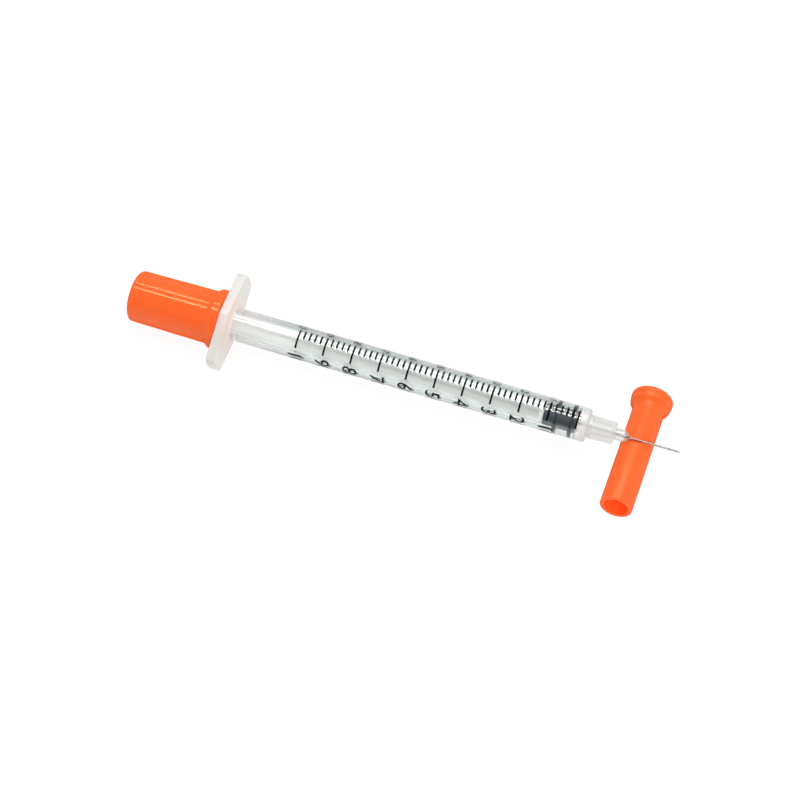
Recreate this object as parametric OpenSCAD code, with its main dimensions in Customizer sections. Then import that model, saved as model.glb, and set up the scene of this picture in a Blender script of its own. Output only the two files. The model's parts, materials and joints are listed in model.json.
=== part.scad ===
// Single-use insulin syringe, 1 mL, 100 units, with its needle shield taken off.
// +X runs along the barrel to the needle and +Z is up. The origin is on the barrel's
// axis, at the middle of the plunger cap's closed end.

/* [Barrel] */
// Bore diameter that the stopper slides in
bore_d = 4.75; // [4.4:0.05:5.2]
// Wall thickness of the barrel tube
barrel_wall = 0.925; // [0.8:0.025:1.2]
// Length of the 100-unit scale, which is 1 mL in this bore
scale_len = 56.43; // [45:0.01:65]
// Plain tube from the flange's front face to the 100-unit line
scale_lead = 14.1; // [8:0.01:20]
// Length from the zero line to the front face of the shoulder
shoulder_len = 2.0; // [1.3:0.01:2.6]
// Height of the bead inside the rear of the bore that keeps the stopper in
retainer_h = 0.12; // [0.05:0.01:0.16]

/* [Finger flange] */
// Thickness of the flange plate
flange_t = 1.95; // [1.2:0.05:2.6]
// How far the flange's round ends reach past the barrel wall
flange_reach = 6.5; // [5:0.1:9]
// Distance from the barrel's axis to each of the flange's side flats
flange_flat = 5.2; // [4.8:0.1:7]
// Taper of the flange's side flats towards its ends, in degrees
flange_taper = 15.5; // [8:0.5:22]
// Turn of the flange's long axis out of the level, in degrees
flange_turn = 20.5; // [0:0.5:45]
// Length of the collar behind the flange that carries the plunger cap
collar_len = 1.8; // [1:0.1:3]
// Wall thickness of that collar
collar_wall = 0.7; // [0.5:0.1:1]

/* [Hub and nose] */
// Diameter over the hub's ribs and root collar
hub_d = 4.6; // [4:0.1:5.4]
// Length of the hub in front of the shoulder
hub_len = 5.3; // [3.5:0.1:7]
// Loss of radius over the ribs from root to front
hub_draft = 0.15; // [0.05:0.01:0.3]
// Width of each hub rib
hub_rib_w = 1.5; // [0.8:0.1:2]
// Length of the plain root collar behind the ribs
hub_collar_len = 0.8; // [0.4:0.1:1.5]
// Diameter of the nose that the needle is bonded in
nose_d = 2.3; // [1.8:0.1:2.8]
// Length of the nose in front of the hub
nose_len = 1.85; // [1.2:0.05:3]

/* [Needle] */
// Outside diameter of the needle
needle_d = 0.33; // [0.25:0.01:0.5]
// Wall thickness of the needle
needle_wall = 0.07; // [0.05:0.005:0.09]
// Length of needle that stands out of the adhesive
needle_len = 9.75; // [6:0.05:13]
// Angle of the ground point to the needle's axis, in degrees
bevel_angle = 14; // [10:1:25]
// Length of the adhesive bead in front of the nose
bead_len = 1.15; // [0.5:0.05:1.5]
// Depth of the adhesive well in the nose
well_depth = 3.2; // [1.5:0.1:4.5]
// Wall thickness of the nose around the well
well_wall = 0.45; // [0.3:0.05:0.6]

/* [Plunger] */
// Gap between the tips of the rod's ribs and the bore
rod_clear = 0.27; // [0.22:0.01:0.5]
// Thickness of the rod's four ribs
rod_rib_t = 0.9; // [0.6:0.1:1.3]
// Turn of the rod's ribs about the axis, in degrees from upright
rod_turn = 80; // [0:5:90]
// Diameter of the thumb rest
thumb_d = 7.9; // [6.6:0.1:8.2]
// Thickness of the thumb rest
thumb_t = 1.4; // [1:0.1:2]
// Thickness of the disc behind the stopper
disc_t = 1.1; // [0.6:0.1:1.6]
// Radius of the barb that holds the stopper
barb_r = 1.25; // [1.05:0.05:1.4]
// Length of the barb from its back face to its tip
barb_len = 1.9; // [1.4:0.1:2.6]
// Radius of the neck behind the barb
neck_r = 0.75; // [0.5:0.05:0.9]
// Length of the neck from the disc to the barb
neck_len = 1.3; // [0.8:0.1:2]

/* [Stopper] */
// Length from the stopper's back face to the zero line
stopper_back = 6.65; // [6:0.05:9]
// Diameter of the stopper's body between its ribs
stopper_body_d = 4.3; // [4:0.05:4.4]
// Width of each sealing rib
stopper_rib_w = 0.85; // [0.5:0.05:1]
// Distance of the front rib's centre behind the zero line
front_rib_back = 1.15; // [1:0.05:1.6]
// Distance from the front rib to the rear rib
rib_pitch = 3.05; // [2:0.05:4]
// How far the stopper's tip stands past the zero line
stopper_tip = 0.25; // [0.1:0.05:0.5]

/* [Plunger cap] */
// Length of the cap behind the flange
cap_len = 18.75; // [12:0.05:24]
// Wall thickness of the cap
cap_wall = 0.93; // [0.6:0.01:1.2]
// Gain of radius from the closed end to the mouth
cap_draft = 0.18; // [0.1:0.01:0.4]
// How far the mouth's lip stands out past the wall
cap_lip = 0.65; // [0.4:0.05:0.9]
// Width of the lip's rim along the axis
cap_lip_w = 1.6; // [0.8:0.1:2.4]
// Length of the cone that leads out to the lip
cap_cone_len = 0.8; // [0.5:0.05:1.5]

/* [Needle shield] */
// Total length of the shield
shield_len = 26.5; // [24:0.1:30]
// Wall thickness at the shield's mouth
shield_wall = 0.8; // [0.6:0.02:1.1]
// Loss of radius from the mouth to the head
shield_draft = 0.02; // [0.01:0.01:0.3]
// Diameter of the closed head
head_d = 8.2; // [6.6:0.1:9]
// Length of the closed head with the flare that leads out to it
head_len = 4.3; // [3.5:0.1:6]
// Depth that the shield's seat reaches over the hub
seat_len = 5.2; // [3:0.1:7]
// Length from the needle to the shield's mouth, as it lies
mouth_side = 13.53; // [10:0.01:14.5]
// Angle in plan between the shield and a line square to the barrel, in degrees
shield_turn = -0.3; // [-8:0.1:8]

/* [Print] */
// Width of a graduation line
line_w = 0.3; // [0.15:0.01:0.4]
// Thickness of the ink
ink_t = 0.03; // [0.01:0.005:0.06]
// Where the lines start, in degrees from the top towards the near side
line_start_angle = -8; // [-20:1:20]
// Turn of a short line, in degrees
short_line_angle = 31; // [15:1:45]
// Turn of a long line, in degrees
long_line_angle = 67; // [50:1:90]

/* [Fits] */
// Radial gap between the stopper's ribs and the bore
stopper_fit = 0.02; // [0.01:0.005:0.05]
// Gap between the stopper's cone and the end of the bore
cone_gap = 0.25; // [0.1:0.05:0.4]
// Radial gap between the cap's mouth and the collar
cap_fit = 0.03; // [0.01:0.01:0.1]
// Gap between the thumb rest and the cap's inside
thumb_clear = 0.25; // [0.15:0.05:0.5]
// Gap between the cap's mouth and the flange
cap_seat_gap = 0.05; // [0.02:0.01:0.2]
// Radial gap between the shield's seat and the hub
shield_fit = 0.02; // [0.01:0.01:0.1]
// Gap between the needle and the shield that lies under it
needle_lift = 0.15; // [0.1:0.05:0.5]
// Gap between the nose and the shield that lies in front of it
nose_gap = 0.3; // [0.2:0.05:1]
// Gap between pieces that are bonded or pressed together
bond_gap = 0.01; // [0.005:0.005:0.02]

/* [Hidden] */

$fn = 96;
fine_fn = 48;
arc_steps = 8;
overrun = 0.5;

// Scale
divisions = 50;
divisions_per_number = 5;
tick_pitch = scale_len / divisions;

// Radii
bore_r = bore_d / 2;
barrel_r = bore_r + barrel_wall;
hub_r = hub_d / 2;
nose_r = nose_d / 2;
needle_r = needle_d / 2;
lumen_r = needle_r - needle_wall;
thumb_r = thumb_d / 2;
rod_r = bore_r - rod_clear;
stopper_body_r = stopper_body_d / 2;
stopper_rib_r = bore_r - stopper_fit;
head_r = head_d / 2;
seat_r = hub_r + shield_fit;
mouth_r = seat_r + shield_wall;
flange_end_r = barrel_r + flange_reach;

// Places along the barrel's axis, from the closed end of the plunger cap
cap_end_x = 0;
flange_back_x = cap_end_x + cap_len + cap_seat_gap;
flange_front_x = flange_back_x + flange_t;
full_x = flange_front_x + scale_lead;
zero_x = full_x + scale_len;
shoulder_x = zero_x + shoulder_len;
hub_front_x = shoulder_x + hub_len;
nose_x = hub_front_x + nose_len;
bead_x = nose_x + bead_len;
needle_x = bead_x + needle_len;

// Moulding details of the barrel
root_fillet = barrel_wall * 0.8;
shoulder_round = barrel_wall * 0.5;
entry_chamfer = barrel_wall * 0.3;
retainer_x = flange_back_x + flange_t * 1.5;
retainer_len = flange_t * 0.6;
flange_round = flange_t * 0.22;
flange_mid_round = flange_reach * 0.35;
hub_core_r = nose_r + (hub_r - nose_r) * 0.3;
hub_nose_chamfer = hub_draft * 2;
well_r = nose_r - well_wall;
hub_rib_count = 4;
hub_rib_turn = 40;

// Side grinds of the needle's point
side_grind_turn = 40;
side_grind_share = 1.5;

// The stopper's front cone, and the end of the bore that follows it
cone_tip_r = stopper_body_r * 0.16;
cone_len = front_rib_back - stopper_rib_w / 2 - stopper_tip * 0.5;
cone_slope = cone_len / (stopper_body_r - cone_tip_r);
stopper_tip_x = zero_x + stopper_tip;
bore_tip_x = stopper_tip_x + cone_gap;
bore_cone_x = bore_tip_x - (bore_r - cone_tip_r) * cone_slope;
needle_back_x = bore_tip_x + bond_gap;

// Plunger
stopper_back_x = zero_x - stopper_back;
disc_front_x = stopper_back_x - bond_gap;
disc_back_x = disc_front_x - disc_t;
thumb_back_x = cap_end_x + cap_wall + thumb_clear;
thumb_front_x = thumb_back_x + thumb_t;
thumb_round = thumb_t * 0.35;
gusset_len = thumb_t * 2.2;
gusset_r = rod_r + (thumb_r - rod_r) * 0.7;
rod_core_r = rod_rib_t * 0.75;

// Plunger cap
cap_end_r = thumb_r + thumb_clear;
cap_mouth_r = cap_end_r + cap_draft;
collar_r = cap_mouth_r - cap_fit;
cap_round = cap_wall * 0.88;
cap_inner_round = cap_wall * 0.3;

// Needle shield, whose tube runs out through a flare into its head
tube_len = shield_len - head_len;
tube_end_r = mouth_r - shield_draft;
head_round = head_len * 0.245;
flare_r = head_len * 0.6;
flare_angle = acos(1 - (head_r - tube_end_r) / (flare_r + head_round));
flare_end = tube_len + (flare_r + head_round) * sin(flare_angle);

// It lies on its mouth's rim and on the edge of its head
shield_lie = atan((head_r - mouth_r) / flare_end);
shield_depth = hub_len + nose_len + bead_len + needle_len + seat_len * 0.4;
chamber_r = nose_r * 1.25;
mouth_chamfer = shield_wall * 0.15;
rim_round = shield_wall * 0.25;
cross_r = mouth_r - shield_draft * mouth_side / tube_len;
cross_h = mouth_r * cos(shield_lie) + mouth_side * sin(shield_lie);
shield_top = cross_h + cross_r * cos(shield_lie);

// Level that the shield lies on, and how far ahead of the nose it lies
table_z = -(shield_top + needle_r + needle_lift);
nose_drop = -table_z - nose_r - cross_h;
shield_x = nose_x + nose_gap + sqrt(max(0, cross_r * cross_r - nose_drop * nose_drop));

// Colours
clear_plastic = [0.86, 0.90, 0.90, 0.45];
rod_plastic = [0.90, 0.90, 0.86];
ink_black = [0.05, 0.05, 0.06];
steel = [0.66, 0.66, 0.68];
resin = [0.93, 0.93, 0.88, 0.6];
rubber = [0.20, 0.23, 0.26];
orange_plastic = [1.00, 0.42, 0.20];

// Puts a shape that is drawn along Z on the barrel's axis, with its X upright
module on_axis(x = 0) {
    translate([x, 0, 0]) rotate([0, 90, 0]) rotate([0, 0, 180]) children();
}

// A revolved shape on the barrel's axis, from points of radius and X
module turned(points, fn = $fn) {
    on_axis() rotate_extrude($fn = fn) polygon(points);
}

// Points along an arc about a centre, between two angles
function arc(centre, r, from, to, first = 0) = [
    for (i = [first : arc_steps])
        let (a = from + (to - from) * i / arc_steps)
        [centre[0] + r * cos(a), centre[1] + r * sin(a)]
];

// The flange's outline: side flats that taper to round ends, widest at the barrel
module flange_outline() {
    corner = (flange_flat - flange_mid_round) / cos(flange_taper);
    end = flange_flat / sin(flange_taper);
    intersection() {
        circle(r = flange_end_r);
        polygon(concat(
            [[end, 0]],
            arc([0, corner], flange_mid_round, 90 - flange_taper, 90 + flange_taper),
            [[-end, 0]],
            arc([0, -corner], flange_mid_round, 270 - flange_taper, 270 + flange_taper)
        ));
    }
}

// The flange's plate, with its round ends eased
module flange() {
    on_axis(flange_back_x) rotate([0, 0, 90 + flange_turn]) intersection() {
        linear_extrude(flange_t) flange_outline();
        rotate_extrude() polygon(concat(
            [[0, 0]],
            arc([flange_end_r - flange_round, flange_round], flange_round, -90, 0),
            arc([flange_end_r - flange_round, flange_t - flange_round], flange_round, 0, 90),
            [[0, flange_t]]
        ));
    }
}

// Ribs round the hub's core, with their front ends chamfered
module hub_ribs() {
    rib_front_r = hub_r - hub_draft;
    on_axis() intersection() {
        for (i = [0 : hub_rib_count / 2 - 1])
            rotate([0, 0, hub_rib_turn + i * 360 / hub_rib_count])
                translate([-hub_r, -hub_rib_w / 2, shoulder_x])
                    cube([hub_d, hub_rib_w, hub_len]);
        rotate_extrude() polygon([
            [0, shoulder_x],
            [hub_r, shoulder_x],
            [hub_r, shoulder_x + hub_collar_len],
            [rib_front_r, hub_front_x - hub_nose_chamfer],
            [rib_front_r - hub_nose_chamfer, hub_front_x],
            [0, hub_front_x]
        ]);
    }
}

// Outside of the tube, from the flange through the shoulder to the nose
module tube_outside() {
    turned(concat(
        [[0, flange_back_x], [barrel_r + root_fillet, flange_back_x]],
        arc([barrel_r + root_fillet, flange_front_x + root_fillet], root_fillet, 270, 180),
        arc([barrel_r - shoulder_round, shoulder_x - shoulder_round], shoulder_round, 0, 90),
        [
            [hub_r, shoulder_x],
            [hub_r, shoulder_x + hub_collar_len],
            [hub_core_r, shoulder_x + hub_collar_len],
            [nose_r, hub_front_x],
            [nose_r, nose_x],
            [0, nose_x]
        ]
    ));
}

// Collar behind the flange, which the cap's mouth slips over
module cap_collar() {
    lead = collar_wall * 0.3;
    turned([
        [collar_r - collar_wall, flange_front_x],
        [collar_r, flange_front_x],
        [collar_r, flange_back_x - collar_len + lead],
        [collar_r - lead, flange_back_x - collar_len],
        [collar_r - collar_wall, flange_back_x - collar_len]
    ]);
}

// Bore with its rear lead-in, retaining bead and conical end
module bore() {
    bead_r = bore_r - retainer_h;
    turned([
        [0, flange_back_x - overrun],
        [bore_r + entry_chamfer + overrun, flange_back_x - overrun],
        [bore_r, flange_back_x + entry_chamfer],
        [bore_r, retainer_x],
        [bead_r, retainer_x + retainer_len * 0.3],
        [bead_r, retainer_x + retainer_len * 0.6],
        [bore_r, retainer_x + retainer_len],
        [bore_r, bore_cone_x],
        [cone_tip_r, bore_tip_x],
        [0, bore_tip_x]
    ]);
}

// Passage for the needle, and the well that the adhesive fills
module needle_way() {
    on_axis(bore_tip_x - overrun)
        cylinder(r = needle_r + bond_gap, h = nose_x - bore_tip_x + 2 * overrun, $fn = fine_fn);
    on_axis(nose_x - well_depth) cylinder(r = well_r, h = well_depth + overrun);
}

module barrel() {
    color(clear_plastic) difference() {
        union() {
            tube_outside();
            flange();
            cap_collar();
            hub_ribs();
        }
        bore();
        needle_way();
    }
}

// One graduation line, a thin arc of ink round the barrel
module graduation(x, turn) {
    on_axis(x - line_w / 2) rotate([0, 0, line_start_angle]) rotate_extrude(angle = turn)
        translate([barrel_r + bond_gap, 0]) square([ink_t, line_w]);
}

module scale_print() {
    color(ink_black) for (i = [0 : divisions])
        let (is_long = i % divisions_per_number == 0)
            graduation(zero_x - i * tick_pitch, is_long ? long_line_angle : short_line_angle);
}

// Cuts away all that lies above a plane that starts at the needle's lowest edge
module grind(turn, angle) {
    cut = 2 * needle_d / tan(bevel_angle);
    on_axis(needle_x) translate([-needle_r, 0, 0]) rotate([0, 0, turn]) rotate([0, -angle, 0])
        translate([0, -cut / 2, -cut]) cube([cut, cut, 2 * cut]);
}

// The point is one long grind, relieved by two side grinds that meet in a sharp tip
module needle() {
    color(steel) difference() {
        on_axis(needle_back_x) cylinder(r = needle_r, h = needle_x - needle_back_x, $fn = fine_fn);
        on_axis(needle_back_x - overrun)
            cylinder(r = lumen_r, h = needle_x - needle_back_x + 2 * overrun, $fn = fine_fn);
        grind(0, bevel_angle);
        for (side = [-1, 1]) grind(side * side_grind_turn, bevel_angle * side_grind_share);
    }
}

// Adhesive in the well and round the root of the needle
module needle_adhesive() {
    foot_r = nose_r * 0.94;
    top_r = needle_r + needle_d * 0.35;
    shank_r = well_r - bond_gap;
    back_x = nose_x - well_depth + bond_gap;
    color(resin) difference() {
        turned([
            [0, back_x],
            [shank_r, back_x],
            [shank_r, nose_x + bond_gap],
            [foot_r, nose_x + bond_gap],
            [foot_r * 0.97, nose_x + bead_len * 0.12],
            [top_r, bead_x - bead_len * 0.1],
            [needle_r + bond_gap, bead_x],
            [0, bead_x]
        ]);
        on_axis(back_x - overrun)
            cylinder(r = needle_r + bond_gap, h = bead_x - back_x + 2 * overrun, $fn = fine_fn);
    }
}

// The four ribs of the rod, as one cross-section
module rod_section(r) {
    intersection() {
        circle(r = r);
        union() {
            square([2 * r, rod_rib_t], center = true);
            square([rod_rib_t, 2 * r], center = true);
            circle(r = rod_core_r);
        }
    }
}

// Thumb rest with a rounded rim and a shallow hollow for the thumb
module thumb_rest() {
    dish_r = thumb_r * 0.7;
    dish_depth = thumb_t * 0.18;
    turned(concat(
        [
            [0, thumb_back_x + dish_depth],
            [dish_r, thumb_back_x + dish_depth],
            [dish_r + dish_depth, thumb_back_x]
        ],
        arc([thumb_r - thumb_round, thumb_back_x + thumb_round], thumb_round, 270, 360),
        arc([thumb_r - thumb_round, thumb_front_x - thumb_round], thumb_round, 0, 90),
        [[0, thumb_front_x]]
    ));
}

// Gussets that spread the ribs out under the thumb rest
module gussets() {
    for (i = [0 : 3])
        on_axis(thumb_front_x) rotate([0, 0, rod_turn + i * 90]) translate([0, rod_rib_t / 2, 0])
            rotate([90, 0, 0]) linear_extrude(rod_rib_t) polygon([
                [0, -thumb_t / 2],
                [gusset_r, -thumb_t / 2],
                [gusset_r, 0],
                [rod_r * 0.9, gusset_len],
                [0, gusset_len]
            ]);
}

// Disc that pushes the stopper, with the neck and barb that pull it
module rod_tip() {
    barb_x = disc_front_x + neck_len;
    barb_tip_r = neck_r * 0.8;
    turned([
        [0, disc_back_x],
        [rod_r, disc_back_x],
        [rod_r, disc_front_x],
        [neck_r, disc_front_x],
        [neck_r, barb_x],
        [barb_r, barb_x],
        [barb_r, barb_x + barb_len * 0.25],
        [barb_tip_r, barb_x + barb_len],
        [0, barb_x + barb_len]
    ]);
}

module plunger_rod() {
    color(rod_plastic) union() {
        thumb_rest();
        gussets();
        on_axis(thumb_front_x - thumb_t / 2) rotate([0, 0, rod_turn])
            linear_extrude(disc_back_x - thumb_front_x + thumb_t) rod_section(rod_r);
        rod_tip();
    }
}

// Cavity in the stopper that the neck and barb fill
module barb_cavity() {
    barb_x = stopper_back_x + neck_len - bond_gap;
    wide_r = barb_r + bond_gap;
    turned([
        [0, stopper_back_x - overrun],
        [neck_r + bond_gap, stopper_back_x - overrun],
        [neck_r + bond_gap, barb_x - bond_gap],
        [wide_r, barb_x - bond_gap],
        [wide_r, barb_x + barb_len * 0.25 + bond_gap],
        [neck_r * 0.8 + bond_gap, barb_x + barb_len + bond_gap],
        [0, barb_x + barb_len + bond_gap]
    ]);
}

// A sealing rib with its crown rounded off, as points of radius and X
function seal_rib(x) =
    let (w = stopper_rib_w / 2, land_share = 0.45, step = stopper_rib_r - stopper_body_r)
    [
        [stopper_body_r, x - w],
        [stopper_rib_r - step * 0.2, x - w * 0.85],
        [stopper_rib_r, x - w * land_share],
        [stopper_rib_r, x + w * land_share],
        [stopper_rib_r - step * 0.2, x + w * 0.85],
        [stopper_body_r, x + w]
    ];

module stopper() {
    front_rib_x = zero_x - front_rib_back;
    rear_rib_x = front_rib_x - rib_pitch;
    edge = stopper_rib_w * 0.2;
    color(rubber) difference() {
        turned(concat(
            [
                [0, stopper_back_x],
                [stopper_body_r - edge, stopper_back_x],
                [stopper_body_r, stopper_back_x + edge]
            ],
            seal_rib(rear_rib_x),
            seal_rib(front_rib_x),
            [
                [stopper_body_r, stopper_tip_x - cone_len],
                [cone_tip_r, stopper_tip_x],
                [0, stopper_tip_x]
            ]
        ));
        barb_cavity();
    }
}

// Closed cap with a drafted wall and a lip at its mouth
module plunger_cap() {
    mouth_x = flange_back_x - cap_seat_gap;
    lip_r = cap_mouth_r + cap_wall + cap_lip;
    outer_end_r = cap_end_r + cap_wall;
    inner_end_x = cap_end_x + cap_wall;
    seat_end_x = mouth_x - collar_len - cap_wall * 0.2;
    lip_edge = cap_lip * 0.25;
    color(orange_plastic) difference() {
        turned(concat(
            [[0, cap_end_x]],
            arc([outer_end_r - cap_round, cap_end_x + cap_round], cap_round, 270, 360),
            [
                [cap_mouth_r + cap_wall, mouth_x - cap_lip_w - cap_cone_len],
                [lip_r, mouth_x - cap_lip_w],
                [lip_r, mouth_x - lip_edge],
                [lip_r - lip_edge, mouth_x],
                [0, mouth_x]
            ]
        ));
        turned(concat(
            [[0, inner_end_x]],
            arc([cap_end_r - cap_inner_round, inner_end_x + cap_inner_round], cap_inner_round, 270, 360),
            [
                [cap_mouth_r - cap_draft * 0.3, seat_end_x],
                [cap_mouth_r, seat_end_x + cap_draft],
                [cap_mouth_r, mouth_x + overrun],
                [0, mouth_x + overrun]
            ]
        ));
    }
}

// Puts a shape that is drawn along Z, from its mouth at zero, where the shield lies
module as_shield_lies() {
    translate([shield_x, 0, table_z]) rotate([0, 0, shield_turn])
        translate([0, -mouth_side * cos(shield_lie), mouth_r * cos(shield_lie)])
            rotate([shield_lie - 90, 0, 0]) children();
}

module needle_shield() {
    color(orange_plastic) as_shield_lies() difference() {
        rotate_extrude() polygon(concat(
            [[0, 0]],
            arc([mouth_r - rim_round, rim_round], rim_round, 270, 360),
            arc([tube_end_r + flare_r, tube_len], flare_r, 180, 180 - flare_angle),
            arc([head_r - head_round, flare_end], head_round, -flare_angle, 0, 1),
            arc([head_r - head_round, shield_len - head_round], head_round, 0, 90),
            [[0, shield_len]]
        ));
        rotate_extrude() polygon([
            [0, -overrun],
            [seat_r + mouth_chamfer + overrun, -overrun],
            [seat_r + mouth_chamfer, 0],
            [seat_r, mouth_chamfer],
            [seat_r, seat_len],
            [chamber_r, seat_len + seat_r - chamber_r],
            [chamber_r, shield_depth],
            [0, shield_depth]
        ]);
    }
}

barrel();
scale_print();
needle();
needle_adhesive();
plunger_rod();
stopper();
plunger_cap();
needle_shield();
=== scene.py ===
"""Finished surfaces, print, light and camera for a 1 mL insulin syringe, built round its solids."""

import json
import math

import bmesh
import bpy
from bpy.props import FloatProperty, FloatVectorProperty, IntProperty, PointerProperty
from mathutils import Matrix, Vector


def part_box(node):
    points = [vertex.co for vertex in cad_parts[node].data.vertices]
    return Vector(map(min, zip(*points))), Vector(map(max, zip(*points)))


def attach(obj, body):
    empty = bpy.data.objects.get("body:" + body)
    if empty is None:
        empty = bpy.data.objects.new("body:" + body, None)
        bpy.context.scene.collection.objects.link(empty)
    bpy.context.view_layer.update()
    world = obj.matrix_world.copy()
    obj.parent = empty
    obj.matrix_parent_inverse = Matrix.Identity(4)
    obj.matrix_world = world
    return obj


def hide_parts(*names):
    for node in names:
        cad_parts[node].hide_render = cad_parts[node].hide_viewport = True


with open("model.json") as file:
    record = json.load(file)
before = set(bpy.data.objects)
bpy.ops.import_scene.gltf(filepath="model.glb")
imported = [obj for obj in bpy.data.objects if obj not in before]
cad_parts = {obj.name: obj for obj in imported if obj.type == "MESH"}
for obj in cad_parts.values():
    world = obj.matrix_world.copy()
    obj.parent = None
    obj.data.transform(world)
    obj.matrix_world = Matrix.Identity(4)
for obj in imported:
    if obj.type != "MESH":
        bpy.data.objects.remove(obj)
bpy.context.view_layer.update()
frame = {"nodes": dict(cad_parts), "record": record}

bl_info = {
    "name": "Insulin syringe",
    "version": (1, 0, 0),
    "blender": (4, 5, 0),
    "location": "3D View > Sidebar > Syringe",
    "description": "Makes the finished pieces of a 1 mL insulin syringe round its solids",
    "category": "Object",
}

MM = 0.001
TURN = 2 * math.pi
FINISH = "finish_"      # keeps these names apart from the materials of the loaded solids
PLASTIC_IOR = 1.49
ALL_ROUND = (1.0, 1.0, 1.0)         # how flow marks are stretched, in X, Y and Z
ALONG_BARREL = (0.05, 1.0, 1.0)
DRAWN_ALONG = (0.03, 1.0, 1.0)
DRAWN_ACROSS = (1.0, 0.03, 1.0)

MOUNTS = {mount["name"]: mount for mount in frame["record"]["mounts"]}
BARREL_LOW, BARREL_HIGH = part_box("barrel")
NEEDLE_LOW, NEEDLE_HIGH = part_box("needle")
STOPPER_LOW, STOPPER_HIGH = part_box("stopper")
CAP_LOW, CAP_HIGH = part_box("plunger_cap")


def length(name, description, millimetres):
    """A size that is written here in millimetres, and that the sidebar shows with its unit."""
    metres = millimetres * MM
    return FloatProperty(name=name, description=description, default=metres, unit="LENGTH", precision=5)


def angle(name, description, degrees):
    """An angle that is written here in degrees."""
    return FloatProperty(name=name, description=description, default=math.radians(degrees), subtype="ANGLE")


def colour(name, description, default):
    """A linear colour."""
    return FloatVectorProperty(
        name=name, description=description, default=default, subtype="COLOR", size=3, min=0.0, max=1.0
    )


class BarrelSizes(bpy.types.PropertyGroup):
    bore_radius: length("Bore radius", "Radius that the stopper slides in", 2.375)
    wall: length("Wall", "Wall thickness of the tube", 0.925)
    collar_length: length("Collar", "Length of the collar under the plunger cap", 1.8)
    collar_radius: length("Collar radius", "Outside radius of that collar", 4.35)
    collar_wall: length("Collar wall", "Wall thickness of that collar", 0.7)
    flange_thickness: length("Flange", "Thickness of the finger flange", 1.95)
    flange_end_radius: length("Flange end", "Radius of the flange's round ends", 9.8)
    flange_flat: length("Flange flat", "Distance from the axis to a side flat", 5.2)
    flange_taper: angle("Flange taper", "Taper of the side flats", 15.5)
    flange_turn: angle("Flange turn", "Turn of the long axis out of the level", 20.5)
    flange_edge: length("Flange edge", "Rounding of the flange's rim", 0.28)
    root_fillet: length("Root fillet", "Fillet from the tube to the flange", 0.74)
    shoulder_round: length("Shoulder round", "Rounding of the tube's front corner", 0.46)
    hub_length: length("Hub", "Length of the ribbed hub", 5.3)
    hub_radius: length("Hub radius", "Radius over the hub's ribs at their root", 2.3)
    hub_draft: length("Hub draft", "Loss of radius over the ribs", 0.15)
    hub_rib_width: length("Hub rib", "Width of each hub rib", 1.5)
    hub_collar: length("Hub collar", "Length of the plain ring behind the ribs", 0.8)
    hub_turn: angle("Hub turn", "Turn of the first hub rib from the top", 40.0)
    nose_length: length("Nose", "Length of the nose that holds the needle", 1.85)
    nose_radius: length("Nose radius", "Radius of that nose", 1.15)
    bore_cone: length("Bore cone", "Length of the cone that ends the bore", 0.66)
    bore_front: length("Bore front", "Distance from the bore's tip to the nose's face", 8.65)


class PrintSizes(bpy.types.PropertyGroup):
    scale_length: length("Scale", "Length of the 100-unit scale", 56.43)
    scale_lead: length("Lead", "Plain tube from the flange to the 100-unit line", 14.1)
    divisions: IntProperty(name="Divisions", description="Spaces between lines on the scale", default=50)
    per_number: IntProperty(name="Per number", description="Spaces from one number to the next", default=5)
    line_width: length("Line width", "Width of a graduation line", 0.37)
    ink: length("Ink", "Thickness of the ink", 0.025)
    start: angle("Start", "Where the lines start, from the top towards the near side", -8.0)
    short_line: angle("Short line", "Turn of a short line", 31.0)
    long_line: angle("Long line", "Turn of a long line", 67.0)
    digit_height: length("Digit height", "Height of the numbers", 2.95)
    digit_start: angle("Digit start", "Where the numbers start", 70.0)
    digit_stretch: FloatProperty(name="Digit stretch", description="Over the font's own width", default=1.02)
    back_height: length("Back digit height", "Height of the numbers on the far side", 1.5)
    back_start: angle("Back digit start", "Where the far side's numbers start", -62.0)


class PlungerSizes(bpy.types.PropertyGroup):
    stopper_radius: length("Stopper body", "Radius of the stopper between its ribs", 2.15)
    squeeze: length("Squeeze", "How far a rib is pressed into the bore's wall", 0.004)
    rib_width: length("Rib width", "Width of a sealing rib", 0.95)
    rib_land: length("Rib land", "Width of a rib that touches the wall", 0.74)
    front_rib: length("Front rib", "Distance from the stopper's tip back to the front rib", 1.4)
    rib_pitch: length("Rib pitch", "Distance between the ribs", 3.05)
    cone_length: length("Cone", "Length of the stopper's cone", 0.6)


class CapSizes(bpy.types.PropertyGroup):
    wall: length("Wall", "Wall thickness of the cap", 0.93)
    end_radius: length("End radius", "Outside radius at the closed end", 5.13)
    mouth_radius: length("Mouth radius", "Outside radius behind the lip", 5.31)
    edge: length("Edge", "Rounding of the closed end", 0.82)
    lip: length("Lip", "How far the lip stands out", 0.65)
    lip_width: length("Lip width", "Width of the lip's rim", 1.6)
    cone_length: length("Cone", "Length of the cone that leads out to the lip", 0.8)
    seat_depth: length("Seat depth", "Depth of the seat for the barrel's collar", 1.95)


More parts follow.
